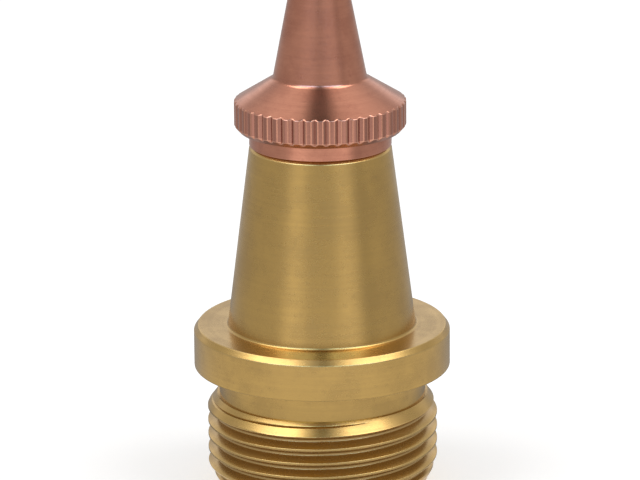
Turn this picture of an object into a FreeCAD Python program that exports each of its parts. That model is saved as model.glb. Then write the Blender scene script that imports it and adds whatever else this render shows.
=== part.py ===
"""Plasma torch nozzle: a turned copper tip seated in a turned brass body.

The brass body has an external right-hand thread below a round flange and a tapered barrel above it.
The copper tip has a straight-knurled collar, a flared shoulder and a long nose cone.
A gas passage runs through both, from the rear bore to the orifice in the nose.
The origin is the centre of the body's rear end face, +Z runs along the axis towards the nose.
"""
import FreeCAD, Part
import os
import Sketcher

# Driving sizes in millimetres: alias, value, what it is.
SIZES = [
    ("thread_major_dia", 16.0, "outside diameter of the mounting thread, M16 fine"),
    ("thread_pitch", 1.0, "rise of the mounting thread in one turn"),
    ("thread_length", 6.68, "rear face to the undercut, both chamfers included"),
    ("thread_lead_in", 1.32, "how far below the rear face the thread groove starts"),
    ("lead_chamfer_length", 1.74, "long chamfer that guides the thread into its nut"),
    ("lead_end_dia", 14.2, "small end of that chamfer, at the rear face"),
    ("back_chamfer_length", 0.82, "chamfer from the thread down to the undercut"),
    ("undercut_dia", 14.35, "relief between thread and flange"),
    ("undercut_width", 2.02, "relief between thread and flange"),
    ("flange_dia", 17.8, "round flange that seats on the torch"),
    ("flange_thickness", 2.9, "round flange that seats on the torch"),
    ("flange_chamfer_width", 0.3, "upper edge of the flange, measured along the radius"),
    ("flange_chamfer_height", 0.38, "upper edge of the flange, measured along the axis"),
    ("barrel_foot_dia", 13.04, "tapered barrel where it meets the flange"),
    ("barrel_top_dia", 9.82, "tapered barrel at its top edge"),
    ("barrel_height", 12.88, "flange to the seat of the tip"),
    ("barrel_edge_break", 0.24, "top edge of the barrel"),
    ("rear_bore_dia", 10.0, "bore for the torch's electrode and gas ring"),
    ("rear_bore_depth", 13.0, "rear face to the flat floor of that bore"),
    ("seat_bore_dia", 7.0, "hole through the barrel that takes the tip's spigot"),
    ("spigot_clearance", 0.05, "gap all round between the spigot and its hole"),
    ("spigot_length", 6.0, "part of the tip that enters the barrel"),
    ("tip_neck_dia", 9.8, "plain ring between barrel and knurl"),
    ("tip_neck_height", 1.08, "plain ring between barrel and knurl"),
    ("knurl_dia", 11.82, "collar over the knurl's ridges"),
    ("knurl_width", 1.62, "straight part of the knurled collar"),
    ("knurl_chamfer_width", 0.32, "lower edge of the collar, measured along the radius"),
    ("knurl_chamfer_height", 0.36, "lower edge of the collar, measured along the axis"),
    ("knurl_grooves", 46, "number of grooves round the collar"),
    ("knurl_depth", 0.21, "depth of one groove"),
    ("knurl_mouth", 0.42, "width of one groove at the collar's surface"),
    ("shoulder_height", 1.66, "knurl to the foot of the nose cone"),
    ("cone_foot_dia", 6.46, "nose cone at the shoulder"),
    ("nose_dia", 3.0, "flat end of the nose"),
    ("nose_length", 8.9, "shoulder to the flat end of the nose"),
    ("tip_bore_dia", 3.0, "drilled passage from the spigot into the nose cone"),
    ("tip_cone_length", 0.54, "drill cone from that passage to the outlet"),
    ("orifice_dia", 1.2, "outlet in the nose"),
    ("orifice_length", 5.5, "straight part of the outlet"),
]

SHEET = "Sizes"
AXIS = "0"  # radius of a corner that lies on the axis
BASE = "0"  # height of a corner that lies on the sketch's own zero


def size(alias):
    """Expression that reads one driving size."""
    return f"{SHEET}.{alias}"


def half(alias):
    """Expression for the radius that goes with a diameter."""
    return f"{SHEET}.{alias} / 2"


# Heights on the brass body, as expressions, upwards from its rear face.
UNDERCUT_BASE = size("thread_length")
FLANGE_BASE = f"({UNDERCUT_BASE} + {size('undercut_width')})"
FLANGE_TOP = f"({FLANGE_BASE} + {size('flange_thickness')})"
BARREL_TOP = f"({FLANGE_TOP} + {size('barrel_height')})"

# Heights on the copper tip, as expressions, upwards from its seat face.
COLLAR_BASE = size("tip_neck_height")
KNURL_BASE = f"({COLLAR_BASE} + {size('knurl_chamfer_height')})"
KNURL_TOP = f"({KNURL_BASE} + {size('knurl_width')})"
CONE_FOOT = f"({KNURL_TOP} + {size('shoulder_height')})"
NOSE_FACE = f"({CONE_FOOT} + {size('nose_length')})"
ORIFICE_BASE = f"({NOSE_FACE} - {size('orifice_length')})"
SPIGOT_RADIUS = f"({half('seat_bore_dia')} - {size('spigot_clearance')})"


def make_sheet(doc):
    """Spreadsheet with one aliased number in column B for each driving size."""
    sheet = doc.addObject("Spreadsheet::Sheet", SHEET)
    for row, (alias, value, note) in enumerate(SIZES, start=1):
        sheet.set(f"A{row}", alias)
        sheet.set(f"B{row}", str(value))
        sheet.set(f"C{row}", note)
        sheet.setAlias(f"B{row}", alias)
    doc.recompute()
    return sheet


def new_sketch(body, name, role):
    """Empty sketch on one of the body's own origin planes."""
    plane = next(item for item in body.Origin.OriginFeatures if item.Role == role)
    sketch = body.newObject("Sketcher::SketchObject", name)
    sketch.AttachmentSupport = (plane, [""])
    sketch.MapMode = "FlatFace"
    return sketch


def closed_outline(sketch, corners):
    """Closed run of straight lines. Each corner is a name with expressions for its two coordinates."""
    points = []
    for _, across, up in corners:
        x = float(sketch.evalExpression(across))
        y = float(sketch.evalExpression(up))
        points.append(FreeCAD.Vector(x, y, 0))
    count = len(points)
    for index in range(count):
        line = Part.LineSegment(points[index], points[(index + 1) % count])
        sketch.addGeometry(line, False)
    for index in range(count):
        sketch.addConstraint(Sketcher.Constraint("Coincident", index, 2, (index + 1) % count, 1))
    for index, (name, across, up) in enumerate(corners):
        pin_corner(sketch, index, f"{name}_across", "DistanceX", across, points[index].x)
        pin_corner(sketch, index, f"{name}_up", "DistanceY", up, points[index].y)


def pin_corner(sketch, line, name, kind, expression, value):
    """Hold the start of a line at an expression's distance from the sketch's origin."""
    if expression == "0":
        axis = -2 if kind == "DistanceX" else -1
        sketch.addConstraint(Sketcher.Constraint("PointOnObject", line, 1, axis))
        return
    index = sketch.addConstraint(Sketcher.Constraint(kind, -1, 1, line, 1, value))
    sketch.renameConstraint(index, name)
    sketch.setExpression(f"Constraints.{name}", expression)


def turn(body, name, corners):
    """Solid of revolution from a half section."""
    sketch = new_sketch(body, f"{name}_section", "XZ_Plane")
    closed_outline(sketch, corners)
    blank = body.newObject("PartDesign::Revolution", name)
    blank.Profile = sketch
    blank.ReferenceAxis = (sketch, ["V_Axis"])
    blank.Angle = 360
    body.Document.recompute()
    return blank


def bore(body, name, corners):
    """Passage cut by revolving a half section round the axis."""
    before = body.Shape.Volume
    sketch = new_sketch(body, f"{name}_section", "XZ_Plane")
    closed_outline(sketch, corners)
    cut = body.newObject("PartDesign::Groove", name)
    cut.Profile = sketch
    cut.ReferenceAxis = (sketch, ["V_Axis"])
    cut.Angle = 360
    body.Document.recompute()
    require_less(body, name, before)
    return cut


def require_less(body, name, before):
    """A cut that points away from the solid removes nothing and raises no error, so volumes are compared."""
    if body.Shape.Volume >= before:
        raise RuntimeError(f"{name} removed nothing from {body.Label}")


def cut_thread(body):
    """Right-hand 60 degree thread: one helical groove that starts in air and ends in the undercut.

    It leaves a flat crest of an eighth of the pitch and has a flat root of a sixth.
    Its section is carried a little past the major diameter, so that the groove opens cleanly.
    """
    before = body.Shape.Volume
    pitch = size("thread_pitch")
    flank = "tan(30 deg)"
    past = f"0.04 * {pitch}"
    root_half = f"{pitch} / 12"
    mouth_half = f"7 / 16 * {pitch}"
    depth = f"({mouth_half} - {root_half}) / {flank}"
    root = f"{half('thread_major_dia')} - {depth}"
    outside = f"{half('thread_major_dia')} + {past}"
    outside_half = f"({mouth_half} + {past} * {flank})"
    start = f"-1 * {size('thread_lead_in')}"
    sketch = new_sketch(body, "thread_groove_section", "XZ_Plane")
    closed_outline(sketch, [
        ("root_low", root, f"{start} - {root_half}"),
        ("outside_low", outside, f"{start} - {outside_half}"),
        ("outside_high", outside, f"{start} + {outside_half}"),
        ("root_high", root, f"{start} + {root_half}"),
    ])
    groove = body.newObject("PartDesign::SubtractiveHelix", "mounting_thread")
    groove.Profile = sketch
    groove.ReferenceAxis = (sketch, ["V_Axis"])
    groove.Mode = "pitch-height-angle"
    groove.LeftHanded = False
    groove.Reversed = False
    groove.setExpression("Pitch", pitch)
    rise = f"{size('thread_lead_in')} + {UNDERCUT_BASE} + {size('undercut_width')} / 2"
    groove.setExpression("Height", rise)
    body.Document.recompute()
    require_less(body, "mounting_thread", before)
    return groove


def cut_knurl(body):
    """Straight V grooves parallel to the axis, cut through the collar and running out in the shoulder.

    The section is twice as deep and wide as one groove, so that half of it lies outside the collar.
    """
    before = body.Shape.Volume
    sketch = new_sketch(body, "knurl_groove_section", "XY_Plane")
    root = f"{half('knurl_dia')} - {size('knurl_depth')}"
    outside = f"{half('knurl_dia')} + {size('knurl_depth')}"
    closed_outline(sketch, [
        ("root", root, "0"),
        ("outside_right", outside, f"-1 * {size('knurl_mouth')}"),
        ("outside_left", outside, size("knurl_mouth")),
    ])
    groove = body.newObject("PartDesign::Pocket", "knurl_groove")
    groove.Profile = sketch
    groove.Type = "Length"
    groove.Reversed = True
    groove.setExpression("Length", CONE_FOOT)
    body.Document.recompute()
    require_less(body, "knurl_groove", before)
    pattern = body.newObject("PartDesign::PolarPattern", "knurl")
    pattern.Originals = [groove]
    pattern.Axis = (sketch, ["N_Axis"])
    pattern.Angle = 360
    pattern.setExpression("Occurrences", size("knurl_grooves"))
    body.Tip = pattern
    body.Document.recompute()
    return pattern


def make_nozzle_body(doc):
    """Brass body: thread, undercut, flange and tapered barrel round a stepped passage."""
    body = doc.addObject("PartDesign::Body", "nozzle_body")
    body.Label = "nozzle_body"
    flange_radius = half("flange_dia")
    turn(body, "body_blank", [
        ("rear_centre", AXIS, BASE),
        ("rear_edge", half("lead_end_dia"), BASE),
        ("crest_low", half("thread_major_dia"), size("lead_chamfer_length")),
        ("crest_high", half("thread_major_dia"), f"{UNDERCUT_BASE} - {size('back_chamfer_length')}"),
        ("undercut_low", half("undercut_dia"), UNDERCUT_BASE),
        ("undercut_high", half("undercut_dia"), FLANGE_BASE),
        ("flange_low", flange_radius, FLANGE_BASE),
        ("flange_high", flange_radius, f"{FLANGE_TOP} - {size('flange_chamfer_height')}"),
        ("flange_inner", f"{flange_radius} - {size('flange_chamfer_width')}", FLANGE_TOP),
        ("barrel_foot", half("barrel_foot_dia"), FLANGE_TOP),
        ("barrel_edge", half("barrel_top_dia"), f"{BARREL_TOP} - {size('barrel_edge_break')}"),
        ("seat_edge", f"{half('barrel_top_dia')} - {size('barrel_edge_break')}", BARREL_TOP),
        ("seat_centre", AXIS, BARREL_TOP),
    ])
    bore(body, "body_passage", [
        ("inlet_centre", AXIS, BASE),
        ("bore_low", half("rear_bore_dia"), BASE),
        ("bore_high", half("rear_bore_dia"), size("rear_bore_depth")),
        ("seat_low", half("seat_bore_dia"), size("rear_bore_depth")),
        ("seat_high", half("seat_bore_dia"), BARREL_TOP),
        ("outlet_centre", AXIS, BARREL_TOP),
    ])
    cut_thread(body)
    return body


def make_nozzle_tip(doc):
    """Copper tip: spigot, neck, knurled collar, flared shoulder and nose cone round a drilled passage."""
    tip = doc.addObject("PartDesign::Body", "nozzle_tip")
    tip.Label = "nozzle_tip"
    spigot_end = f"-1 * {size('spigot_length')}"
    collar_radius = half("knurl_dia")
    turn(tip, "tip_blank", [
        ("spigot_centre", AXIS, spigot_end),
        ("spigot_low", SPIGOT_RADIUS, spigot_end),
        ("spigot_high", SPIGOT_RADIUS, BASE),
        ("neck_low", half("tip_neck_dia"), BASE),
        ("neck_high", half("tip_neck_dia"), COLLAR_BASE),
        ("collar_under", f"{collar_radius} - {size('knurl_chamfer_width')}", COLLAR_BASE),
        ("collar_low", collar_radius, KNURL_BASE),
        ("collar_high", collar_radius, KNURL_TOP),
        ("cone_foot", half("cone_foot_dia"), CONE_FOOT),
        ("nose_edge", half("nose_dia"), NOSE_FACE),
        ("nose_centre", AXIS, NOSE_FACE),
    ])
    bore(tip, "tip_passage", [
        ("entry_centre", AXIS, spigot_end),
        ("entry_edge", half("tip_bore_dia"), spigot_end),
        ("drill_end", half("tip_bore_dia"), f"{ORIFICE_BASE} - {size('tip_cone_length')}"),
        ("orifice_low", half("orifice_dia"), ORIFICE_BASE),
        ("orifice_high", half("orifice_dia"), NOSE_FACE),
        ("exit_centre", AXIS, NOSE_FACE),
    ])
    cut_knurl(tip)
    tip.setExpression("Placement.Base.z", BARREL_TOP)
    return tip


def check_and_export(doc, parts):
    """Stop on any failed object, then write one STEP file for each piece."""
    for item in doc.Objects:
        if "Invalid" in item.State or "Error" in item.State:
            raise RuntimeError(f"{item.Name} failed: {item.State}")
    for part in parts:
        if part.Shape.isNull() or not part.Shape.isValid() or len(part.Shape.Solids) != 1:
            raise RuntimeError(f"{part.Label} has no single sound solid")
    os.makedirs("parts", exist_ok=True)
    for part in parts:
        part.Shape.exportStep(f"parts/{part.Label}.step")
        box = part.Shape.optimalBoundingBox(False)
        print(f"{part.Label}: volume {part.Shape.Volume:.2f} mm3, z {box.ZMin:.3f} to {box.ZMax:.3f}")


def main():
    """Build the document and write its pieces."""
    doc = FreeCAD.newDocument("torch_nozzle")
    make_sheet(doc)
    parts = [make_nozzle_body(doc), make_nozzle_tip(doc)]
    doc.recompute()
    check_and_export(doc, parts)


main()
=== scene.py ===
"""The looks of a plasma torch nozzle: a turned brass body with a threaded rear
end, and a copper tip with a knurled collar, standing on a pale studio floor."""

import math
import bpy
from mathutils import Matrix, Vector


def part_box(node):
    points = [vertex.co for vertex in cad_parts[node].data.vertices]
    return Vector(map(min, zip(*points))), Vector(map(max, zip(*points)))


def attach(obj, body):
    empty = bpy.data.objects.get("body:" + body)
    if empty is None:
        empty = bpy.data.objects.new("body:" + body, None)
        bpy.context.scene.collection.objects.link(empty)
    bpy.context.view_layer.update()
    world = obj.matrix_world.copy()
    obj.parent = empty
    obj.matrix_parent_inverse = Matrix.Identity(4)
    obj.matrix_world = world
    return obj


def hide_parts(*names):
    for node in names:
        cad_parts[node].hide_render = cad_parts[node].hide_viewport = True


bl_info = {
    "name": "Plasma torch nozzle",
    "version": (1, 0, 0),
    "blender": (4, 5, 0),
    "location": "3D View > Sidebar > Nozzle",
    "description": "Makes a threaded brass nozzle with a knurled copper tip",
    "category": "Object",
}

import bmesh
import bpy
import numpy as np
from bpy.props import FloatProperty, FloatVectorProperty, IntProperty, PointerProperty
from bpy.types import Operator, Panel, PropertyGroup
from mathutils import Matrix, Vector

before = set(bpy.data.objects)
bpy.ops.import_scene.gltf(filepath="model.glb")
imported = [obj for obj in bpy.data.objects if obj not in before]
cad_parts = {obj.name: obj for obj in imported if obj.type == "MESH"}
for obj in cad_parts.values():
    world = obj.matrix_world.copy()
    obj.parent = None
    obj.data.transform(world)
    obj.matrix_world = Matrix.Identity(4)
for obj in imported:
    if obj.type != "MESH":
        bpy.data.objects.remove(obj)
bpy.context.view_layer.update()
BODY_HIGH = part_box("nozzle_body")[1]
TIP_LOW, TIP_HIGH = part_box("nozzle_tip")

MM = 0.001
FULL_TURN = 2.0 * math.pi
FRONT = -0.25 * FULL_TURN
# The value of a point: one on a worn edge that also gets a painted highlight, and minus one
# down in a groove or on the knurl, where shade is painted.
PAINTED_LIGHT_AND_WEAR = "painted_light_and_edge_wear"
COARSE_STEP = 0.8 * MM
TIP_STEP = 0.7 * MM
KNURL_STEP = 0.05 * MM
# Towards the right-hand soft box from the nozzle, and the tint of its mirror image.
BOX_DIRECTION = (0.55, -0.22, 0.80)
BOX_TINT = (0.62, 0.98, 1.55, 1.0)
WHITE = (1.0, 1.0, 1.0, 1.0)


def length(name, millimetres, description):
    """A length that a user can change, given in millimetres and kept in metres."""
    return FloatProperty(
        name=name,
        description=description,
        default=millimetres * MM,
        min=0.0,
        unit="LENGTH",
        precision=5,
    )


def share(name, value, description):
    """A plain number from nought to one that a user can change."""
    return FloatProperty(
        name=name, description=description, default=value, min=0.0, max=1.0
    )


def brightness(name, value, description):
    """A brightness that a user can change, where one is white."""
    return FloatProperty(name=name, description=description, default=value, min=0.0)


def colour(name, red, green, blue, description):
    """A colour that a user can change, in linear light."""
    return FloatVectorProperty(
        name=name,
        description=description,
        default=(red, green, blue),
        min=0.0,
        max=1.0,
        size=3,
        subtype="COLOR",
    )


# ---------------------------------------------------------------- sizes


class NozzleBodySizes(PropertyGroup):
    """Sizes of the brass body."""

    thread_dia: length("Thread diameter", 16.0, "Outside diameter of the thread")
    thread_pitch: length("Thread pitch", 1.0, "Rise of the thread in one turn")
    thread_length: length("Thread length", 6.68, "Rear face to the undercut")
    crest_height: length("Crest height", 4.93, "Height of a crest at the front")
    lead_end_dia: length("Lead end diameter", 14.2, "Rear end of the lead chamfer")
    lead_length: length("Lead chamfer", 1.74, "Length of the lead chamfer")
    back_length: length("Back chamfer", 0.88, "Length of the chamfer at the undercut")
    back_step: length("Back step", 0.16, "Step from that chamfer to the undercut")
    undercut_dia: length("Undercut diameter", 14.35, "Neck behind the flange")
    undercut_width: length("Undercut width", 2.02, "Thread end to the flange")
    flange_thickness: length("Flange thickness", 2.9, "Thickness of the flange")
    flange_chamfer: length("Flange chamfer", 0.30, "Radial size, upper edge")
    flange_bevel: length("Flange chamfer height", 0.38, "Axial size, upper edge")
    foot_dia: length("Barrel foot diameter", 13.04, "Barrel where it leaves the flange")
    top_dia: length("Barrel top diameter", 9.82, "Barrel at its upper end")
    top_break: length("Barrel top chamfer", 0.24, "Chamfer around the barrel's end")
    rear_bore_dia: length("Rear bore diameter", 10.0, "Wide bore from the rear")
    rear_bore_depth: length("Rear bore depth", 13.0, "Depth of the wide bore")
    seat_bore_dia: length("Seat bore diameter", 7.0, "Bore that holds the tip")
    mouth: length("Bore mouth", 0.3, "Chamfer at the rear bore's mouth")
    lower_break: length("Lower edge break", 0.08, "Break of the flange's lower edge")
    run_out: length("Thread run-out", 0.53, "Undercut to where the groove is a line")
    run_out_depth: length("Run-out depth", 0.10, "Depth of that line where it begins")
    foot_fillet: length("Foot fillet", 0.17, "Fillet between barrel and flange")
    undercut_fillet: length("Undercut fillet", 0.2, "Fillet under the flange")
    edge: length("Edge break", 0.05, "Rounding left on each turned edge")


class NozzleTipSizes(PropertyGroup):
    """Sizes of the copper tip."""

    spigot_clearance: length("Spigot clearance", 0.05, "Gap around the spigot")
    spigot_break: length("Spigot edge break", 0.2, "Rounding of the spigot's rear edge")
    neck_dia: length("Neck diameter", 9.8, "Neck below the collar")
    neck_height: length("Neck height", 1.08, "Seat face to the collar")
    knurl_dia: length("Collar diameter", 11.82, "Over the ridges of the knurl")
    knurl_width: length("Collar width", 1.62, "Straight part of the knurl")
    collar_chamfer: length("Collar chamfer", 0.32, "Radial size, lower edge")
    collar_bevel: length("Collar chamfer height", 0.36, "Axial size, lower edge")
    groove_depth: length("Groove depth", 0.15, "Depth of a knurl groove")
    groove_width: length("Groove width", 0.46, "Width of a groove at its mouth")
    grooves: IntProperty(
        name="Grooves",
        description="Grooves around the collar",
        default=46,
        min=3,
    )
    shoulder_height: length("Shoulder height", 1.66, "Collar to the cone's foot")
    cone_foot_dia: length("Cone foot diameter", 6.46, "Nose cone at its foot")
    nose_dia: length("Nose diameter", 3.0, "End face of the nose")
    bore_dia: length("Bore diameter", 3.0, "Gas passage in the tip")
    bore_cone: length("Bore cone", 0.54, "Length of the passage's end cone")
    orifice_dia: length("Orifice diameter", 1.2, "Hole in the nose")
    orifice_length: length("Orifice length", 5.5, "Length of the small hole")
    cone_fillet: length("Cone fillet", 0.17, "Fillet between cone and shoulder")
    nose_break: length("Nose break", 0.15, "Rounding of the nose's edge")
    edge: length("Edge break", 0.04, "Rounding left on each turned edge")


class NozzleFinish(PropertyGroup):
    """Colours and smoothness of the two metals."""

    brass: colour("Brass", 0.57, 0.365, 0.118, "Clean turned brass")
    brass_dull: colour("Dull brass", 0.44, 0.28, 0.10, "Brass where it has dulled")
    # Painted shade: darker, greyer brass down in the thread's grooves.
    brass_hollow_shade: colour("Brass hollow", 0.48, 0.315, 0.13, "Brass down in the thread")
    # Lighter than clean brass: worn edges with a painted highlight.
    brass_worn_highlight: colour("Brass edge", 0.66, 0.45, 0.18, "Brass rubbed bright on edges")
    brass_rough: share("Brass roughness", 0.27, "Roughness of the turned brass")
    copper: colour("Copper", 0.60, 0.262, 0.17, "Clean turned copper")
    copper_dull: colour("Dull copper", 0.43, 0.172, 0.113, "Copper where it has dulled")
    # Lighter than clean copper: worn edges with a painted highlight.
    copper_worn_highlight: colour("Copper edge", 0.72, 0.40, 0.28, "Copper rubbed bright on edges")
    # Painted shade: darker, greyer copper over the knurl.
    copper_hollow_shade: colour("Copper hollow", 0.41, 0.185, 0.135, "Copper on the knurl")
    copper_rough: share("Copper roughness", 0.24, "Roughness of the turned copper")
    mark_spacing: length("Mark spacing", 0.16, "Distance between tool marks")
    mark_height: length("Mark height", 0.0022, "Height of the tool marks")


class NozzleStage(PropertyGroup):
    """Floor, lamps and camera."""

    floor_width: length("Floor width", 6000.0, "Side of the floor")
    floor_colour: colour("Floor", 0.82, 0.82, 0.82, "Colour of the floor")
    box_distance: length("Soft box distance", 520.0, "Nozzle to each soft box")
    box_width: length("Soft box width", 260.0, "Width of each soft box")
    box_depth: length("Soft box length", 420.0, "Length of each soft box")
    box_level: brightness("Soft box level", 2.6, "Brightness of each soft box's face")
    tent_opening: length("Tent opening", 10.0, "Clear floor around the nozzle")
    tent_radius: length("Tent radius", 900.0, "Radius of the cloth dome")
    floor_lift: share("Floor lift", 0.40, "Light added to the floor as it is seen")
    fill_level: share("Fill level", 0.45, "Brightness of the sky that lights the scene")
    front_level: brightness("Tent front", 0.63, "Cloth at eye level on the camera's side")
    back_level: brightness("Tent back", 0.52, "Cloth at eye level behind the nozzle")
    band_level: brightness("Tent bands", 0.38, "Added by the bands beside the camera")
    roof_level: brightness("Tent roof", 0.45, "Added high up")
    behind_level: brightness("Tent low back", 0.55, "Added low down behind the nozzle")
    panel_level: brightness("Tent panels", 2.4, "Added by two panels in front, half way up")
    apron_level: brightness("Tent apron", 1.45, "Floor cloth a little way in front")
    mat_front: brightness("Mat front", 0.88, "Floor cloth near the nozzle, in front")
    mat_back: brightness("Mat back", 0.30, "Floor cloth near the nozzle, behind")
    foot_front: brightness("Foot front", 0.60, "Floor cloth beside the nozzle, in front")
    foot_back: brightness("Foot back", 0.22, "Floor cloth beside the nozzle, behind")
    view_height: length("Aim height", 17.55, "Height that the camera aims at")
    view_side: length("Aim side", 0.082, "How far left of the axis the camera aims")
    view_distance: length("Camera distance", 300.0, "Camera to the point it aims at")
    view_lens: FloatProperty(
        name="Lens",
        description="Focal length in millimetres",
        default=244.15,
        min=1.0,
    )
    view_tilt: FloatProperty(
        name="Camera elevation",
        description="Angle at which the camera looks down",
        default=math.radians(16.26),
        subtype="ANGLE",
        unit="ROTATION",
    )
    view_roll: FloatProperty(
        name="Camera roll",
        description="Turn of the camera about its own line of sight",
        default=math.radians(0.465),
        subtype="ANGLE",
        unit="ROTATION",
    )


# ---------------------------------------------------------------- shapes


def rounded_profile(corners, steps=4, hold=0.02 * MM):
    """A profile of radius, height and edge value through corners of radius, height and
    break. Each corner gives way to a parabola between the two points that lie
    its break away along the neighbouring runs: the corner's weight is 2t(1-t)
    and the end points weigh (1-t) squared and t squared. A point just outside
    each end holds the flat runs flat. The edge value is 4t(1-t) on a convex corner
    and nought elsewhere; it lightens worn edges with a painted highlight. Points
    that fall together are kept once."""
    corners = np.asarray(corners, float)
    here, setback = corners[:, :2], corners[:, 2:]
    runs_in = np.roll(here, 1, axis=0) - here
    runs_out = np.roll(here, -1, axis=0) - here
    unit_in = runs_in / np.linalg.norm(runs_in, axis=1, keepdims=True)
    unit_out = runs_out / np.linalg.norm(runs_out, axis=1, keepdims=True)
    outside = setback + np.minimum(hold, setback)
    t = np.linspace(0.0, 1.0, steps + 1)[None, :, None]
    start = (here + unit_in * setback)[:, None]
    end = (here + unit_out * setback)[:, None]
    arc = (1 - t) ** 2 * start + 2 * t * (1 - t) * here[:, None] + t**2 * end
    before = (here + unit_in * outside)[:, None]
    after = (here + unit_out * outside)[:, None]
    points = np.concatenate([before, arc, after], axis=1)
    turn = unit_in[:, 0] * unit_out[:, 1] - unit_in[:, 1] * unit_out[:, 0]
    bump = np.concatenate([[0.0], (4 * t * (1 - t)).ravel(), [0.0]])
    painted_light_and_wear = (turn < 0)[:, None] * bump[None, :]
    path = np.concatenate([points, painted_light_and_wear[:, :, None]], axis=2).reshape(-1, 3)
    step = np.linalg.norm(np.diff(path[:, :2], axis=0), axis=1)
    return path[np.concatenate([[True], step > 1e-4 * MM])]


def filled_profile(path, spacing):
    """The same profile with more points: the runs between its points are measured
    in steps of spacing, a length for each point, and every whole step is added."""
    run = np.linalg.norm(np.diff(path[:, :2], axis=0), axis=1)
    measure = np.concatenate(
        [[0.0], np.cumsum(run / np.minimum(spacing[1:], spacing[:-1]))]
    )
    whole = np.arange(0.0, measure[-1], 1.0)
    gap = np.abs(whole[:, None] - measure[None, :]).min(axis=1)
    places = np.sort(np.concatenate([measure, whole[gap > 0.25]]))
    return np.column_stack([np.interp(places, measure, line) for line in path.T])


def soft_minimum(first, second, blend):
    """The lesser of two heights, with the crease between them rounded over blend:
    h runs from 0 to 1 as first falls below second, and the result is
    second + h (first - second) - blend h (1 - h). The edge value is 4h(1-h), which
    lightens the rounded crease as worn metal with a painted highlight."""
    h = np.clip(0.5 + 0.5 * (second - first) / blend, 0.0, 1.0)
    return second + h * (first - second) - blend * h * (1 - h), 4 * h * (1 - h)


def grid_faces(rows, columns):
    """The quads of a grid of points that is rows long and columns wide."""
    corner = np.arange(rows * columns).reshape(rows, columns)
    return np.stack(
        [corner[:-1, :-1], corner[:-1, 1:], corner[1:, 1:], corner[1:, :-1]], axis=-1
    ).reshape(-1, 4)


def turned_grid(radius, height, azimuth, painted_light_and_wear):
    """Points at radius and height around the axis, radius times the cosine and
    the sine of the azimuth across it, with their quads and edge values, which
    lighten worn edges with a painted highlight and darken hollows with painted
    shade. The four arrays spread over one grid whose columns go once around."""
    radius, height, azimuth, painted_light_and_wear = np.broadcast_arrays(radius, height, azimuth, painted_light_and_wear)
    points = np.stack(
        [radius * np.cos(azimuth), radius * np.sin(azimuth), height], axis=-1
    )
    return points.reshape(-1, 3), grid_faces(*radius.shape), painted_light_and_wear.ravel()


def closed_mesh(name, grids):
    """One closed mesh from several grids: points that fall together are joined,
    and faces that shrink to a line are dropped. An open edge is an error."""
    start, points, faces, painted_light_and_wear = 0, [], [], []
    for grid_points, grid_quads, grid_painted_light_and_wear in grids:
        spread = np.ptp(grid_points[grid_quads], axis=1).max(axis=1)
        height = np.ptp(grid_points[grid_quads][:, :, 2], axis=1)
        radius = np.hypot(grid_points[:, 0], grid_points[:, 1])[grid_quads]
        line = (height < 1e-6 * MM) & (np.ptp(radius, axis=1) < 1e-6 * MM)
        faces.append(grid_quads[~line & (spread > 1e-6 * MM)] + start)
        points.append(grid_points)
        painted_light_and_wear.append(grid_painted_light_and_wear)
        start += len(grid_points)
    points, faces, painted_light_and_wear = (np.concatenate(part) for part in (points, faces, painted_light_and_wear))
    mesh = bpy.data.meshes.new(name)
    mesh.from_pydata(points, [], faces.tolist())
    mesh.attributes.new(PAINTED_LIGHT_AND_WEAR, "FLOAT", "POINT").data.foreach_set(
        "value", painted_light_and_wear.astype(np.float32)
    )
    whole = bmesh.new()
    whole.from_mesh(mesh)
    bmesh.ops.remove_doubles(whole, verts=whole.verts, dist=1e-4 * MM)
    loose = [vert for vert in whole.verts if not vert.link_faces]
    bmesh.ops.delete(whole, geom=loose, context="VERTS")
    open_edges = sum(not edge.is_manifold for edge in whole.edges)
    whole.to_mesh(mesh)
    whole.free()
    if open_edges:
        raise RuntimeError(f"{name} has {open_edges} open edges")
    mesh.polygons.foreach_set("use_smooth", np.ones(len(mesh.polygons), bool))
    mesh.set_sharp_from_angle(angle=math.radians(40.0))
    mesh.update()
    return mesh


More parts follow.
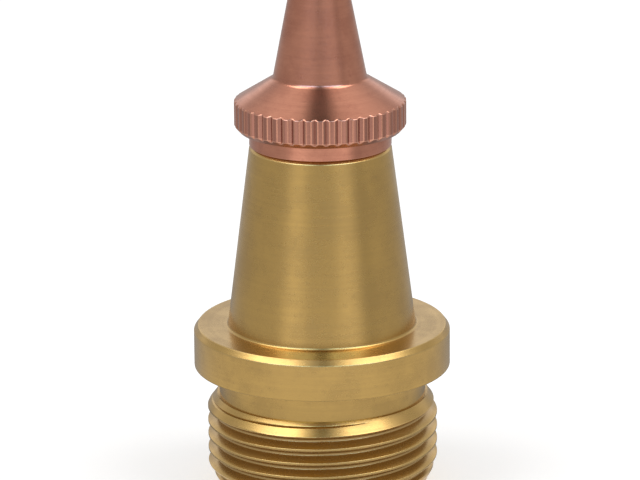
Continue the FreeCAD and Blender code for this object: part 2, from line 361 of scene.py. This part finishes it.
def thread_grid(sizes, columns):
    """The threaded end as a grid whose rows follow the helix. A row at share s of
    a pitch lies at height pitch (s + turns), and its radius is that of the
    thread's profile at s: a flat crest an eighth of the pitch wide, flanks at
    60 degrees to each other and a flat root a sixth wide. Heights stop at the
    two ends, and the radius gives way to the chamfers' where theirs is less. As
    a groove's middle climbs over the back chamfer, the depth and the width left
    to it fall to those of a thin line and then to nought."""
    pitch, crest = sizes.thread_pitch, 0.5 * sizes.thread_dia
    depth = (1 - 1 / 8 - 1 / 6) * 0.5 * pitch * math.sqrt(3.0)
    root_side, crest_side = 0.5 - 1 / 12, 1 / 16
    middle = 0.5 * (root_side + crest_side)
    half_row = [crest_side, middle, root_side]
    offsets = np.array([-side for side in reversed(half_row)] + half_row + [0.5])
    depths = np.array([1.0, 0.5, 0.0, 0.0, 0.5, 1.0, 1.0]) * depth
    root_break, crest_break = 0.045, 0.022
    half_breaks = [crest_break, 0.0, root_break]
    breaks = np.array(half_breaks[::-1] + half_breaks + [0.0]) * pitch
    first = (sizes.crest_height / pitch) % 1.0
    turns = np.arange(-2, math.ceil(sizes.thread_length / pitch) + 1)
    heights = (turns[:, None] + first + offsets[None, :]) * pitch
    corners = np.stack(
        [
            np.broadcast_to(crest - depths, heights.shape),
            heights,
            np.broadcast_to(breaks, heights.shape),
        ],
        axis=-1,
    ).reshape(-1, 3)
    corners[[0, -1], 2] = 0.0
    row = rounded_profile(corners, steps=3)
    around = np.linspace(0.0, 1.0, columns + 1)
    height = row[:, 1, None] + pitch * around[None, :]
    height = np.clip(height, 0.0, sizes.thread_length - 0.5 * sizes.edge)
    height[-1] = sizes.thread_length
    chamfers = np.interp(
        height,
        [
            0.0,
            sizes.lead_length,
            sizes.thread_length - sizes.back_length,
            sizes.thread_length - 0.5 * sizes.edge,
            sizes.thread_length,
        ],
        [
            0.5 * sizes.lead_end_dia,
            crest,
            crest,
            0.5 * sizes.undercut_dia + sizes.back_step,
            0.5 * sizes.undercut_dia,
        ],
    )
    groove = np.floor(row[:, 1, None] / pitch - first) + 0.5 + first
    from_middle = np.abs(row[:, 1, None] - groove * pitch)
    groove_height = (groove + around[None, :]) * pitch
    run_out = sizes.thread_length - sizes.run_out
    line_length, line_fade = 0.57, 0.75
    line_end = run_out + line_length * sizes.run_out
    start = run_out - 0.5 * sizes.back_length
    places = [start, run_out, line_end, line_end + sizes.edge]
    slope, line = math.sqrt(3.0), sizes.run_out_depth
    depth_left = np.interp(groove_height, places, [depth, line, line_fade * line, 0.0])
    half_mouth = (0.5 - crest_side) * pitch
    widths = [half_mouth, line / slope, line_fade * line / slope, 0.0]
    width_left = np.interp(groove_height, places, widths)
    cut = np.clip(slope * (width_left - from_middle), 0.0, depth_left)
    radius, crease = soft_minimum(row[:, 0, None], chamfers, sizes.edge)
    radius = np.maximum(radius, chamfers - cut)
    # Lighter on the thread's edges and creases, as worn metal with a painted highlight,
    # fading where the groove runs out.
    painted_light_and_wear = np.maximum(row[:, 2, None], crease) * np.minimum(1.0, depth_left / depth)
    # Painted shade: the value falls below nought with depth down in the groove, darkening
    # the colour there.
    hollow = np.clip((chamfers - radius) / depth, 0.0, 1.0)
    painted_light_and_wear = painted_light_and_wear - hollow * (1.0 - painted_light_and_wear)
    return turned_grid(radius, height, FRONT + FULL_TURN * around[None, :], painted_light_and_wear)


def body_grid(sizes, columns):
    """The rest of the brass body: its profile from the undercut over the flange
    and up the barrel, down the passage and out along the rear face, turned once
    around the axis."""
    seat = BODY_HIGH.z
    flange_base = sizes.thread_length + sizes.undercut_width
    flange_top = flange_base + sizes.flange_thickness
    flange_radius = min(BODY_HIGH.x, BODY_HIGH.y)
    undercut, bore = 0.5 * sizes.undercut_dia, 0.5 * sizes.rear_bore_dia
    barrel_top, seat_bore = 0.5 * sizes.top_dia, 0.5 * sizes.seat_bore_dia
    edge = sizes.edge
    corners = [
        (undercut, sizes.thread_length, 0.0),
        (undercut, sizes.thread_length + edge, 0.0),
        (undercut, flange_base, sizes.undercut_fillet),
        (flange_radius, flange_base, sizes.lower_break),
        (flange_radius, flange_top - sizes.flange_bevel, edge),
        (flange_radius - sizes.flange_chamfer, flange_top, edge),
        (0.5 * sizes.foot_dia, flange_top, sizes.foot_fillet),
        (barrel_top, seat - sizes.top_break, edge),
        (barrel_top - sizes.top_break, seat, edge),
        (seat_bore, seat, edge),
        (seat_bore, sizes.rear_bore_depth, 0.0),
        (bore, sizes.rear_bore_depth, 0.0),
        (bore, sizes.mouth, edge),
        (bore + sizes.mouth, 0.0, edge),
        (0.5 * sizes.lead_end_dia, 0.0, 0.0),
    ]
    path = rounded_profile(corners)
    path = filled_profile(path, np.full(len(path), COARSE_STEP))
    azimuth = np.linspace(FRONT, FRONT + FULL_TURN, columns + 1)
    return turned_grid(path[:, :1], path[:, 1:2], azimuth[None, :], path[:, 2:])


def tip_grid(sizes, seat, seat_bore):
    """The copper tip: its closed profile from the spigot up over the neck, collar,
    shoulder and nose and back down the passage, turned once around the axis. The
    radius gives way to that of V grooves, the floor's radius plus the distance
    to the groove's middle times the slope of its side, where theirs is less. The
    whole knurl takes the darker hollow colour as painted shade, with lighter
    edges where the grooves meet the collar."""
    collar = 0.5 * sizes.knurl_dia
    collar_base = seat + sizes.neck_height
    knurl_base = collar_base + sizes.collar_bevel
    knurl_top = knurl_base + sizes.knurl_width
    cone_foot_height = knurl_top + sizes.shoulder_height
    cone_foot, neck = 0.5 * sizes.cone_foot_dia, 0.5 * sizes.neck_dia
    orifice, bore = 0.5 * sizes.orifice_dia, 0.5 * sizes.bore_dia
    spigot = 0.5 * seat_bore - sizes.spigot_clearance
    floor = collar - sizes.groove_depth
    reach = sizes.groove_depth * 1.25
    shoulder_share = reach / (collar - cone_foot)
    chamfer_share = min(1.0, reach / sizes.collar_chamfer)
    edge, top = sizes.edge, TIP_HIGH.z
    drill_end = top - sizes.orifice_length - sizes.bore_cone
    corners = [
        (spigot, TIP_LOW.z, sizes.spigot_break),
        (spigot, seat, 0.0),
        (neck, seat, edge),
        (neck, collar_base, 2 * edge),
        (collar - sizes.collar_chamfer, collar_base, edge),
        (
            collar - sizes.collar_chamfer * chamfer_share,
            knurl_base - sizes.collar_bevel * chamfer_share,
            0.0,
        ),
        (collar, knurl_base, edge),
        (collar, knurl_top, edge),
        (collar - reach, knurl_top + sizes.shoulder_height * shoulder_share, 0.0),
        (cone_foot, cone_foot_height, sizes.cone_fillet),
        (0.5 * sizes.nose_dia, top, sizes.nose_break),
        (orifice, top, 2 * edge),
        (orifice, top - sizes.orifice_length, 0.0),
        (bore, drill_end, 0.0),
        (bore, TIP_LOW.z, 0.0),
    ]
    path = rounded_profile(corners)
    fine = path[:, 0] > collar - 1.01 * reach
    path = filled_profile(path, np.where(fine, KNURL_STEP, TIP_STEP))
    path = np.concatenate([path, path[:1]])
    pitch = FULL_TURN / sizes.grooves
    half_mouth = 0.5 * sizes.groove_width / (collar * 0.5 * pitch)
    # Columns stand close together over each groove, and one halves the ridge.
    side = half_mouth * np.array([0.3, 0.75, 1.0, 1.3])
    places = np.concatenate([-side[::-1], [0.0], side, [1.0]]) * 0.5 * pitch
    first = FRONT + 0.5 * pitch
    azimuth = first + (np.arange(sizes.grooves)[:, None] * pitch + places).ravel()
    azimuth = np.append(azimuth, azimuth[0] + FULL_TURN)
    from_middle = (azimuth - first + 0.5 * pitch) % pitch - 0.5 * pitch
    slope = sizes.groove_depth / (0.5 * sizes.groove_width)
    sides = floor + collar * np.abs(np.sin(from_middle)) * slope
    radius, crease = soft_minimum(path[:, :1], sides[None, :], edge)
    # Lighter on the collar's edges and the ridges' creases: worn metal with a painted
    # highlight.
    painted_light_and_wear = np.maximum(path[:, 2:], crease * (path[:, :1] > floor))
    # Painted shade: the knurl band, all but its edges, takes the darker hollow colour.
    knurled = np.abs(path[:, 1:2] - knurl_base - 0.5 * sizes.knurl_width)
    knurled = (knurled < 0.5 * sizes.knurl_width + edge) & (path[:, :1] > floor)
    painted_light_and_wear = painted_light_and_wear - knurled * (1.0 - painted_light_and_wear)
    return turned_grid(radius, path[:, 1:2], azimuth[None, :], painted_light_and_wear)


def new_object(name, data):
    """A new object at the origin, linked to the scene."""
    made = bpy.data.objects.new(name, data)
    bpy.context.scene.collection.objects.link(made)
    return made


def add_piece(name, mesh, node, material):
    """The mesh as a piece that rides on the frame and stands for a CAD node."""
    piece = new_object(name, mesh)
    mesh.materials.append(material)
    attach(piece, "root")
    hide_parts(node)
    return piece


# ---------------------------------------------------------------- finishes


class Nodes:
    """A node tree that is filled from left to right, with short calls."""

    def __init__(self, tree):
        self.tree = tree

    def add(self, kind, inputs=None, **settings):
        """A node of a kind, its settings, and its inputs by name or number: a
        socket is linked, and anything else is set as the input's value."""
        node = self.tree.nodes.new(kind)
        for key, value in settings.items():
            setattr(node, key, value)
        for key, value in (inputs or {}).items():
            if isinstance(value, bpy.types.NodeSocket):
                self.tree.links.new(value, node.inputs[key])
            else:
                node.inputs[key].default_value = value
        return node

    def maths(self, operation, *values, clamp=False):
        """The value socket of a Math node."""
        node = self.add(
            "ShaderNodeMath",
            dict(enumerate(values)),
            operation=operation,
            use_clamp=clamp,
        )
        return node.outputs[0]

    def mix(self, factor, first, second):
        """The colour socket of a Mix node."""
        node = self.add(
            "ShaderNodeMix", {0: factor, 6: first, 7: second}, data_type="RGBA"
        )
        return node.outputs[2]


def new_material(name):
    """A new material, its nodes and its Principled shader."""
    material = bpy.data.materials.new(name)
    material.use_nodes = True
    shader = material.node_tree.nodes["Principled BSDF"]
    return material, Nodes(material.node_tree), shader


def new_group(name, inputs, outputs):
    """An empty shader node group with named inputs, each with its default, and
    named outputs."""
    group = bpy.data.node_groups.new(name, "ShaderNodeTree")
    for label, default in inputs.items():
        kind = "NodeSocketFloat" if isinstance(default, float) else "NodeSocketVector"
        socket = group.interface.new_socket(label, in_out="INPUT", socket_type=kind)
        if kind == "NodeSocketFloat":
            socket.default_value = default
    for label in outputs:
        group.interface.new_socket(
            label, in_out="OUTPUT", socket_type="NodeSocketFloat"
        )
    nodes = Nodes(group)
    return (
        group,
        nodes,
        nodes.add("NodeGroupInput").outputs,
        nodes.add("NodeGroupOutput"),
    )


def turning_marks():
    """Marks of the lathe tool: noise that changes fast across radius and height
    and slowly around the axis, where it reads the cosine and the sine of the
    azimuth, so that it closes on itself. Height feeds a bump, and Streak is the
    same marks spread from nought to one."""
    group, nodes, given, out = new_group(
        "Turning marks", {"Position": None, "Spacing": 0.16 * MM}, ["Height", "Streak"]
    )
    part = nodes.add("ShaderNodeSeparateXYZ", {0: given["Position"]}).outputs
    flat = nodes.add(
        "ShaderNodeCombineXYZ", {"X": part["X"], "Y": part["Y"]}
    ).outputs[0]
    radius = nodes.add(
        "ShaderNodeVectorMath", {0: flat}, operation="LENGTH"
    ).outputs["Value"]
    around = nodes.add(
        "ShaderNodeVectorMath", {0: flat}, operation="NORMALIZE"
    ).outputs[0]
    turn = nodes.add("ShaderNodeSeparateXYZ", {0: around}).outputs
    across = nodes.maths("DIVIDE", radius, given["Spacing"])
    along = nodes.maths("DIVIDE", part["Z"], given["Spacing"])
    place = nodes.add(
        "ShaderNodeCombineXYZ", {"X": across, "Y": along, "Z": turn["X"]}
    ).outputs[0]
    noise = nodes.add(
        "ShaderNodeTexNoise",
        {"Vector": place, "W": turn["Y"], "Scale": 0.7, "Detail": 3.0, "Roughness": 0.6},
        noise_dimensions="4D",
    ).outputs["Fac"]
    streak = nodes.add(
        "ShaderNodeMapRange",
        {"Value": noise, "From Min": 0.3, "From Max": 0.7},
    ).outputs[0]
    nodes.tree.links.new(noise, out.inputs["Height"])
    nodes.tree.links.new(streak, out.inputs["Streak"])
    return group


def dulling():
    """Dull patches from storage and handling: two sizes of noise over the piece.
    Patch is wide and soft, and Speck is small and sparse."""
    group, nodes, given, out = new_group(
        "Dulling", {"Position": None, "Patch size": 3.0 * MM}, ["Patch", "Speck"]
    )
    wide = nodes.maths("DIVIDE", 1.0, given["Patch size"])
    patch = nodes.add(
        "ShaderNodeTexNoise",
        {"Vector": given["Position"], "Scale": wide, "Detail": 5.0, "Roughness": 0.62},
    ).outputs["Fac"]
    small = nodes.maths("MULTIPLY", wide, 9.0)
    speck = nodes.add(
        "ShaderNodeTexNoise",
        {"Vector": given["Position"], "Scale": small, "Detail": 2.0},
    ).outputs["Fac"]
    ranges = (("Patch", patch, 0.38, 0.66), ("Speck", speck, 0.58, 0.74))
    for label, value, low, high in ranges:
        spread = nodes.add(
            "ShaderNodeMapRange",
            {"Value": value, "From Min": low, "From Max": high},
            interpolation_type="SMOOTHSTEP",
        ).outputs[0]
        nodes.tree.links.new(spread, out.inputs[label])
    return group


def turned_metal(name, clean, dull, bright, hollow, roughness, finish, patch_size):
    """A turned metal: clean and dull colours mixed by patches and streaks, lighter
    on worn edges with a painted highlight, and darker and greyer down in the
    hollows as painted shade, where the edge value is below nought, with the
    tool's marks in bump and roughness."""
    material, nodes, shader = new_material(name)
    position = nodes.add("ShaderNodeTexCoord").outputs["Object"]
    marks = nodes.add(
        "ShaderNodeGroup", node_tree=bpy.data.node_groups["Turning marks"]
    )
    nodes.tree.links.new(position, marks.inputs["Position"])
    marks.inputs["Spacing"].default_value = finish.mark_spacing
    stains = nodes.add("ShaderNodeGroup", node_tree=bpy.data.node_groups["Dulling"])
    nodes.tree.links.new(position, stains.inputs["Position"])
    stains.inputs["Patch size"].default_value = patch_size
    painted_light_and_wear = nodes.add(
        "ShaderNodeAttribute", attribute_name=PAINTED_LIGHT_AND_WEAR, attribute_type="GEOMETRY"
    ).outputs["Fac"]
    streak_share, patch_share, speck_share = 0.35, 0.5, 0.25
    worn_highlight_share, hollow_shade_share = 0.7, 1.4
    least_rough, added_rough = roughness - 0.05, 0.10
    streaks = nodes.maths("MULTIPLY", marks.outputs["Streak"], streak_share)
    patches = nodes.maths("MULTIPLY_ADD", stains.outputs["Patch"], patch_share, streaks)
    dullness = nodes.maths(
        "MULTIPLY_ADD", stains.outputs["Speck"], speck_share, patches, clamp=True
    )
    skin = nodes.mix(dullness, (*clean, 1.0), (*dull, 1.0))
    # Painted highlight: worn edges take a colour lighter than clean metal.
    rubbed_and_highlit = nodes.maths("MULTIPLY", painted_light_and_wear, worn_highlight_share, clamp=True)
    skin = nodes.mix(rubbed_and_highlit, skin, (*bright, 1.0))
    # Painted shade: the darker, greyer hollow colour down in the grooves and on the knurl.
    hollow_shade_mask = nodes.maths("MULTIPLY", painted_light_and_wear, -hollow_shade_share, clamp=True)
    skin = nodes.mix(hollow_shade_mask, skin, (*hollow, 1.0))
    rough = nodes.maths("MULTIPLY_ADD", dullness, added_rough, least_rough)
    bump = nodes.add(
        "ShaderNodeBump",
        {
            "Strength": 1.0,
            "Distance": finish.mark_height,
            "Height": marks.outputs["Height"],
        },
    ).outputs[0]
    nodes.tree.links.new(skin, shader.inputs["Base Color"])
    nodes.tree.links.new(rough, shader.inputs["Roughness"])
    nodes.tree.links.new(bump, shader.inputs["Normal"])
    shader.inputs["Metallic"].default_value = 1.0
    return material


def shared_groups():
    """The node groups that both metals use, made once."""
    if "Turning marks" not in bpy.data.node_groups:
        turning_marks()
        dulling()


# ---------------------------------------------------------------- operators


class NOZZLE_OT_body(Operator):
    """Makes the brass body with its thread, flange and tapered barrel"""

    bl_idname = "nozzle.body"
    bl_label = "Brass body"

    def execute(self, context):
        sizes, finish = context.scene.nozzle_body, context.scene.nozzle_finish
        columns = 216
        mesh = closed_mesh(
            "brass_body", [thread_grid(sizes, columns), body_grid(sizes, columns)]
        )
        shared_groups()
        material = turned_metal(
            "Turned brass",
            finish.brass,
            finish.brass_dull,
            finish.brass_worn_highlight,
            finish.brass_hollow_shade,
            finish.brass_rough,
            finish,
            3.0 * MM,
        )
        add_piece("brass_body", mesh, "nozzle_body", material)
        return {"FINISHED"}


class NOZZLE_OT_tip(Operator):
    """Makes the copper tip with its knurled collar, shoulder and nose"""

    bl_idname = "nozzle.tip"
    bl_label = "Copper tip"

    def execute(self, context):
        scene = context.scene
        sizes, finish = scene.nozzle_tip, scene.nozzle_finish
        grid = tip_grid(sizes, BODY_HIGH.z, scene.nozzle_body.seat_bore_dia)
        mesh = closed_mesh("copper_tip", [grid])
        shared_groups()
        material = turned_metal(
            "Turned copper",
            finish.copper,
            finish.copper_dull,
            finish.copper_worn_highlight,
            finish.copper_hollow_shade,
            finish.copper_rough,
            finish,
            2.2 * MM,
        )
        add_piece("copper_tip", mesh, "nozzle_tip", material)
        return {"FINISHED"}


def place_camera(stage):
    """The camera looks along the slope of its elevation at a point on the axis,
    and is turned a little about that line."""
    aim = Vector((-stage.view_side, 0.0, stage.view_height))
    back = Vector((0.0, -math.cos(stage.view_tilt), math.sin(stage.view_tilt)))
    right = Vector((1.0, 0.0, 0.0))
    up = back.cross(right)
    turn = Matrix.Rotation(-stage.view_roll, 3, back)
    data = bpy.data.cameras.new("Camera")
    data.sensor_width = 36.0
    data.lens = stage.view_lens
    data.clip_start = 0.01
    data.clip_end = 20.0
    camera = new_object("Camera", data)
    axes = Matrix((turn @ right, turn @ up, back)).transposed().to_4x4()
    camera.matrix_world = (
        Matrix.Translation(aim + back * stage.view_distance) @ axes
    )
    bpy.context.scene.camera = camera


def place_soft_box(name, stage, side):
    """A soft box above one shoulder of the camera, facing the nozzle."""
    data = bpy.data.lights.new(name, "AREA")
    data.shape = "RECTANGLE"
    data.size = stage.box_width
    data.size_y = stage.box_depth
    data.energy = math.pi * stage.box_width * stage.box_depth * stage.box_level
    across, forward, up = BOX_DIRECTION
    direction = Vector((across * side, forward, up)).normalized()
    lamp = new_object(name, data)
    along = Vector((0.0, 1.0, 0.0))
    along = (along - direction * along.dot(direction)).normalized()
    across = along.cross(direction)
    axes = Matrix((across, along, direction)).transposed().to_4x4()
    centre = Vector((0.0, 0.0, stage.view_height))
    lamp.matrix_world = (
        Matrix.Translation(centre + direction * stage.box_distance) @ axes
    )


def seen_directly(nodes):
    """One for rays that the eye, a mirror or glass sends out, and nought for
    those that carry light between dull surfaces."""
    path = nodes.add("ShaderNodeLightPath").outputs
    mirrored = nodes.maths("MAXIMUM", path["Is Camera Ray"], path["Is Glossy Ray"])
    return nodes.maths("MAXIMUM", mirrored, path["Is Transmission Ray"])


def make_world(stage):
    """White for what is seen directly, and a plain level for everything else."""
    world = bpy.data.worlds.new("Studio")
    world.use_nodes = True
    bpy.context.scene.world = world
    nodes = Nodes(world.node_tree)
    background = world.node_tree.nodes["Background"]
    level = nodes.add(
        "ShaderNodeMix", {0: seen_directly(nodes), 2: stage.fill_level, 3: 1.0}
    ).outputs[0]
    background.inputs["Color"].default_value = WHITE
    world.node_tree.links.new(level, background.inputs["Strength"])


def tent_glow(stage):
    """The brightness of the tent's cloth by direction from the nozzle. Turn is the
    angle from the camera's side in radians, and height is the sine of the
    elevation. The walls are darker behind than in front, with a pale band on
    either side of the camera and a notch on the right, and paler low down behind.
    Two panels hang half way up in front, and a dark slit runs overhead. On the
    floor the cloth is palest a little way in front and darker near the nozzle.
    Cool is one on the panels, whose light is bluer, and nought elsewhere."""
    group, nodes, given, out = new_group(
        "Tent glow", {"Direction": None}, ["Level", "Cool"]
    )
    part = nodes.add("ShaderNodeSeparateXYZ", {0: given["Direction"]}).outputs
    height = part["Z"]
    across = nodes.maths("ABSOLUTE", part["X"])
    forward = nodes.maths("MULTIPLY", part["Y"], -1.0)
    turn = nodes.maths("ARCTAN2", across, forward)
    turn_right = nodes.maths("ARCTAN2", part["X"], forward)

    def ramp(value, start, end, low, high):
        """A smooth run from low at start to high at end."""
        return nodes.add(
            "ShaderNodeMapRange",
            {1: start, 2: end, 3: low, 4: high, 0: value},
            interpolation_type="SMOOTHSTEP",
        ).outputs[0]

    def blend(factor, first, second):
        """First where the factor is nought, and second where it is one."""
        return nodes.add("ShaderNodeMix", {0: factor, 2: first, 3: second}).outputs[0]

    def both(first, second):
        """The product of two masks."""
        return nodes.maths("MULTIPLY", first, second)

    def away_from(value, middle):
        """How far a value is from a middle."""
        return nodes.maths("ABSOLUTE", nodes.maths("SUBTRACT", value, middle))

    band_turn, notch_turn = 0.62, 1.05
    notch_level, slit_level = 0.8, 0.1
    walls = ramp(turn, 0.6, 2.6, stage.front_level, stage.back_level)
    band = both(
        ramp(away_from(turn, band_turn), 0.04, 0.40, stage.band_level, 0.0),
        ramp(height, -0.02, 0.14, 1.0, 0.0),
    )
    roof = ramp(height, 0.35, 0.9, 0.0, stage.roof_level)
    behind = both(
        ramp(turn, 1.9, 2.7, 0.0, stage.behind_level),
        ramp(height, 0.14, 0.22, 0.0, 1.0),
    )
    behind = both(behind, ramp(height, 0.34, 0.50, 1.0, 0.0))
    panels = both(
        ramp(turn, 0.80, 1.15, stage.panel_level, 0.0),
        ramp(height, 0.32, 0.46, 0.0, 1.0),
    )
    panels = both(panels, ramp(height, 0.58, 0.70, 1.0, 0.0))
    cool = nodes.maths("MULTIPLY", panels, 0.6, clamp=True)
    level = nodes.maths("ADD", nodes.maths("ADD", walls, band), roof)
    level = nodes.maths("ADD", nodes.maths("ADD", level, behind), panels)

    slit = ramp(across, 0.07, 0.20, slit_level, 1.0)
    below_slit = ramp(height, 0.12, 0.45, 1.0, 0.0)
    back_of_slit = both(
        ramp(turn, 2.0, 2.6, 0.0, 1.0), ramp(height, 0.40, 0.75, 1.0, 0.0)
    )
    slit = nodes.maths("MAXIMUM", slit, below_slit)
    slit = nodes.maths("MAXIMUM", slit, back_of_slit)
    notch = ramp(away_from(turn_right, notch_turn), 0.0, 0.3, notch_level, 1.0)
    level = both(both(level, slit), notch)

    apron = both(
        ramp(height, -0.188, -0.183, 1.0, 0.0), ramp(turn, 0.7, 0.95, 1.0, 0.0)
    )
    mat = ramp(turn, 1.4, 3.0, stage.mat_front, stage.mat_back)
    foot = ramp(turn, 0.6, 2.6, stage.foot_front, stage.foot_back)
    level = blend(apron, level, stage.apron_level)
    level = blend(ramp(height, -0.32, -0.28, 1.0, 0.0), level, mat)
    level = blend(ramp(height, -0.62, -0.54, 1.0, 0.0), level, foot)
    nodes.tree.links.new(cool, out.inputs["Cool"])
    nodes.tree.links.new(level, out.inputs["Level"])
    return group


def make_tent(stage):
    """The tent that the metal mirrors: a cloth that lies on the floor around the
    nozzle and turns up into a dome. Radius and height are those of a quarter
    circle after a flat run, turned once around the axis. Only mirror rays meet
    it, so it neither hides the white surround nor shades the floor."""
    lift, rings, columns = 0.5 * MM, 24, 96
    flat = np.linspace(stage.tent_opening, stage.tent_radius, rings)
    rise = np.linspace(0.0, 0.25 * FULL_TURN, rings + 1)[1:]
    radius = np.concatenate([flat, stage.tent_radius * np.cos(rise)])
    height = np.concatenate([0.0 * flat, stage.tent_radius * np.sin(rise)]) + lift
    azimuth = np.linspace(0.0, FULL_TURN, columns + 1)
    points, quads, _ = turned_grid(
        radius[:, None], height[:, None], azimuth[None, :], np.zeros((1, 1))
    )
    mesh = bpy.data.meshes.new("tent")
    mesh.from_pydata(points, [], quads.tolist())
    tent = new_object("tent", mesh)
    tent.visible_camera = False
    tent.visible_diffuse = False
    tent.visible_shadow = False
    material, nodes, shader = new_material("Tent cloth")
    place = nodes.add("ShaderNodeTexCoord").outputs["Object"]
    from_centre = nodes.add(
        "ShaderNodeVectorMath",
        {0: place, 1: (0.0, 0.0, stage.view_height)},
        operation="SUBTRACT",
    ).outputs[0]
    direction = nodes.add(
        "ShaderNodeVectorMath", {0: from_centre}, operation="NORMALIZE"
    ).outputs[0]
    glow = nodes.add("ShaderNodeGroup", node_tree=tent_glow(stage))
    nodes.tree.links.new(direction, glow.inputs["Direction"])
    shader.inputs["Base Color"].default_value = (0.0, 0.0, 0.0, 1.0)
    shader.inputs["Specular IOR Level"].default_value = 0.0
    shader.inputs["Emission Strength"].default_value = 1.0
    tint = nodes.mix(glow.outputs["Cool"], WHITE, BOX_TINT)
    light = nodes.add(
        "ShaderNodeVectorMath",
        {0: tint, "Scale": glow.outputs["Level"]},
        operation="SCALE",
    ).outputs[0]
    nodes.tree.links.new(light, shader.inputs["Emission Color"])
    mesh.materials.append(material)


def make_floor(stage):
    """A large pale floor under the nozzle. It takes shadows near the nozzle, and
    what is seen of it directly is lifted to the white of the surround."""
    half = 0.5 * stage.floor_width
    mesh = bpy.data.meshes.new("floor")
    corners = [(-half, -half), (half, -half), (half, half), (-half, half)]
    mesh.from_pydata([(x, y, 0.0) for x, y in corners], [], [(0, 1, 2, 3)])
    floor = new_object("floor", mesh)
    material, nodes, shader = new_material("Floor")
    shader.inputs["Base Color"].default_value = (*stage.floor_colour, 1.0)
    shader.inputs["Roughness"].default_value = 0.9
    shader.inputs["Specular IOR Level"].default_value = 0.0
    shader.inputs["Emission Color"].default_value = WHITE
    lift = nodes.maths("MULTIPLY", seen_directly(nodes), stage.floor_lift)
    nodes.tree.links.new(lift, shader.inputs["Emission Strength"])
    mesh.materials.append(material)


class NOZZLE_OT_stage(Operator):
    """Makes the floor, the surround, the tent, the two soft boxes and the camera"""

    bl_idname = "nozzle.stage"
    bl_label = "Studio stage"

    def execute(self, context):
        stage = context.scene.nozzle_stage
        place_camera(stage)
        place_soft_box("soft_box_left", stage, -1.0)
        place_soft_box("soft_box_right", stage, 1.0)
        make_world(stage)
        make_floor(stage)
        make_tent(stage)
        context.scene.view_settings.view_transform = "Standard"
        return {"FINISHED"}


class NOZZLE_PT_panel(Panel):
    """Lists the operators that make the nozzle and its stage"""

    bl_label = "Nozzle"
    bl_idname = "NOZZLE_PT_panel"
    bl_space_type = "VIEW_3D"
    bl_region_type = "UI"
    bl_category = "Nozzle"

    def draw(self, context):
        for operator in OPERATORS:
            self.layout.operator(operator.bl_idname, text=operator.bl_label)


SETTINGS = {
    "nozzle_body": NozzleBodySizes,
    "nozzle_tip": NozzleTipSizes,
    "nozzle_finish": NozzleFinish,
    "nozzle_stage": NozzleStage,
}
OPERATORS = (NOZZLE_OT_stage, NOZZLE_OT_body, NOZZLE_OT_tip)


def register():
    """Registers the settings, the operators and the panel."""
    for name, group in SETTINGS.items():
        bpy.utils.register_class(group)
        setattr(bpy.types.Scene, name, PointerProperty(type=group))
    for operator in OPERATORS:
        bpy.utils.register_class(operator)
    bpy.utils.register_class(NOZZLE_PT_panel)


def unregister():
    """Takes all of that back, in the opposite order."""
    bpy.utils.unregister_class(NOZZLE_PT_panel)
    for operator in reversed(OPERATORS):
        bpy.utils.unregister_class(operator)
    for name, group in reversed(SETTINGS.items()):
        delattr(bpy.types.Scene, name)
        bpy.utils.unregister_class(group)


def main():
    """Makes the whole scene."""
    register()
    bpy.ops.nozzle.stage()
    bpy.ops.nozzle.body()
    bpy.ops.nozzle.tip()
    bpy.context.view_layer.update()


if __name__ == "__main__":
    main()
